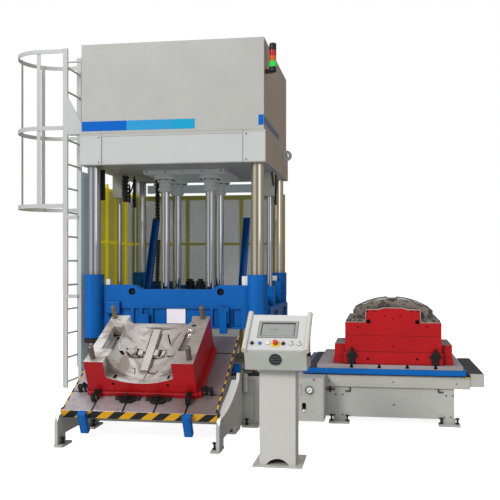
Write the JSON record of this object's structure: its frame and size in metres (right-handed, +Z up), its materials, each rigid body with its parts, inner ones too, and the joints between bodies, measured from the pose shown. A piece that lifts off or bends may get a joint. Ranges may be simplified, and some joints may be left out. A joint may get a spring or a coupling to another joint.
{
  "type": "hydraulic press",
  "caption": "Column-guided hydraulic moulding press with a sliding platen, a tilting front bolster, a side mould carriage, a caged ladder, guards and a control desk.",
  "frame": {"origin": "on the floor, midway between the four columns", "axes": "+X towards the side carriage, +Y to the back, +Z up; the control desk and the tilting bolster are on the -Y side"},
  "size_m": [4.8898, 3.6801, 3.835],
  "materials": {
    "base_paint": "satin",
    "crown_paint": "satin",
    "blue_paint": "satin",
    "chrome_rod": "polished",
    "machined_steel": "machined",
    "dark_steel": "blackened",
    "frame_paint": "satin",
    "light_paint": "satin",
    "yellow_paint": "satin",
    "guard_sheet": "tinted",
    "black_plastic": "matte",
    "black_rubber": "matte",
    "red_mould_paint": "satin",
    "bolster_paint": "satin",
    "lamp_plastic": "translucent",
    "screen_plastic": "glossy",
    "blue_plastic": "glossy",
    "white_plastic": "glossy",
    "red_plastic": "glossy"
  },
  "bodies": {
    "press": {"press_base": "base_paint", "slide_rails": "machined_steel", "columns": "chrome_rod", "crown_beam": "crown_paint", "crown_housing": "crown_paint", "cylinder_plate": "crown_paint", "rod_glands": "crown_paint", "lift_cylinders": "base_paint", "hydraulic_unit": "base_paint", "side_cylinders": "frame_paint", "lifting_hooks": "frame_paint", "lamp_body": "black_plastic", "lamp_lenses": "lamp_plastic", "ladder_stiles": "light_paint", "ladder_rungs": "light_paint", "cage_hoops": "light_paint", "cage_bars": "light_paint", "cable_duct": "light_paint", "ladder_brackets": "light_paint", "guard_frames": "yellow_paint", "guard_panels": "guard_sheet", "side_frame_left": "frame_paint", "side_frame_right": "frame_paint", "bearing_blocks": "blue_paint", "levelling_bolts": "dark_steel", "side_table": "base_paint", "table_covers": "light_paint", "desk_pedestal": "light_paint", "desk_box": "light_paint", "desk_screen": "screen_plastic", "valve_cabinet": "base_paint"},
    "platen": {"upper_platen": "blue_paint", "platen_plate": "machined_steel", "sleeve_wipers": "black_rubber", "lift_rods": "chrome_rod", "locking_pins": "machined_steel", "platen_clamps": "dark_steel", "chain_brackets": "blue_paint", "platen_fittings": "dark_steel"},
    "bolster": {"bolster_plate": "bolster_paint", "bolster_arms": "blue_paint", "bolster_rollers": "dark_steel", "lower_mould_base": "red_mould_paint", "lower_mould_cavity": "machined_steel", "mould_pins": "machined_steel", "mould_clamps": "dark_steel"},
    "carriage": {"carriage_frame": "blue_paint", "tslot_table": "bolster_paint", "upper_mould_base": "red_mould_paint", "upper_mould_core": "machined_steel"},
    "selector_left": {"selector_left": "black_plastic"},
    "button_blue": {"button_blue": "blue_plastic"},
    "button_white": {"button_white": "white_plastic"},
    "emergency_stop": {"emergency_stop": "red_plastic"},
    "selector_right": {"selector_right": "black_plastic"},
    "switch_left": {"switch_left": "white_plastic"},
    "switch_right": {"switch_right": "white_plastic"},
    "side_knob": {"side_knob": "black_plastic"},
    "gauge_needle": {"gauge_needle": "black_plastic"},
    "cabinet_latch": {"cabinet_latch": "black_plastic"}
  },
  "joints": [
    {"name": "platen_slide", "type": "slide", "parent": "press", "child": "platen", "axis": [0, 0, 1], "range_m": [-0.1, 0.45]},
    {"name": "bolster_tilt", "type": "hinge", "parent": "press", "child": "bolster", "pos_m": [0, -1.1, 0.585], "axis": [1, 0, 0], "range_deg": [-27.23, 0]},
    {"name": "carriage_slide", "type": "slide", "parent": "press", "child": "carriage", "axis": [1, 0, 0], "range_m": [-0.6, 0]},
    {"name": "selector_left_turn", "type": "hinge", "parent": "press", "child": "selector_left", "pos_m": [1.0815, -2.54701, 0.97934], "axis": [0, -0.5961, 0.8029], "range_deg": [-45, 45]},
    {"name": "button_blue_press", "type": "slide", "parent": "press", "child": "button_blue", "axis": [0, 0.5961, -0.8029], "range_m": [0, 0.004], "stiffness_N_per_m": 600, "springref_m": -0.003},
    {"name": "button_white_press", "type": "slide", "parent": "press", "child": "button_white", "axis": [0, 0.5961, -0.8029], "range_m": [0, 0.004], "stiffness_N_per_m": 600, "springref_m": -0.003},
    {"name": "emergency_stop_press", "type": "slide", "parent": "press", "child": "emergency_stop", "axis": [0, 0.5961, -0.8029], "range_m": [0, 0.006], "stiffness_N_per_m": 1200, "springref_m": -0.003},
    {"name": "selector_right_turn", "type": "hinge", "parent": "press", "child": "selector_right", "pos_m": [1.3275, -2.54701, 0.97934], "axis": [0, -0.5961, 0.8029], "range_deg": [-45, 45]},
    {"name": "switch_left_turn", "type": "hinge", "parent": "press", "child": "switch_left", "pos_m": [1.389, -2.54701, 0.97934], "axis": [0, -0.5961, 0.8029], "range_deg": [0, 90]},
    {"name": "switch_right_turn", "type": "hinge", "parent": "press", "child": "switch_right", "pos_m": [1.4505, -2.54701, 0.97934], "axis": [0, -0.5961, 0.8029], "range_deg": [0, 90]},
    {"name": "side_knob_turn", "type": "hinge", "parent": "press", "child": "side_knob", "pos_m": [1.512, -2.53, 0.9], "axis": [1, 0, 0], "range_deg": [-60, 60]},
    {"name": "gauge_needle_turn", "type": "hinge", "parent": "press", "child": "gauge_needle", "pos_m": [1.391, -0.95, 0.368], "axis": [0, 1, 0], "range_deg": [0, 270], "stiffness_Nm_per_rad": 0.05, "springref_deg": -28.65},
    {"name": "cabinet_latch_turn", "type": "hinge", "parent": "press", "child": "cabinet_latch", "pos_m": [1.339, -0.95, 0.161], "axis": [0, 1, 0], "range_deg": [0, 90]}
  ]
}
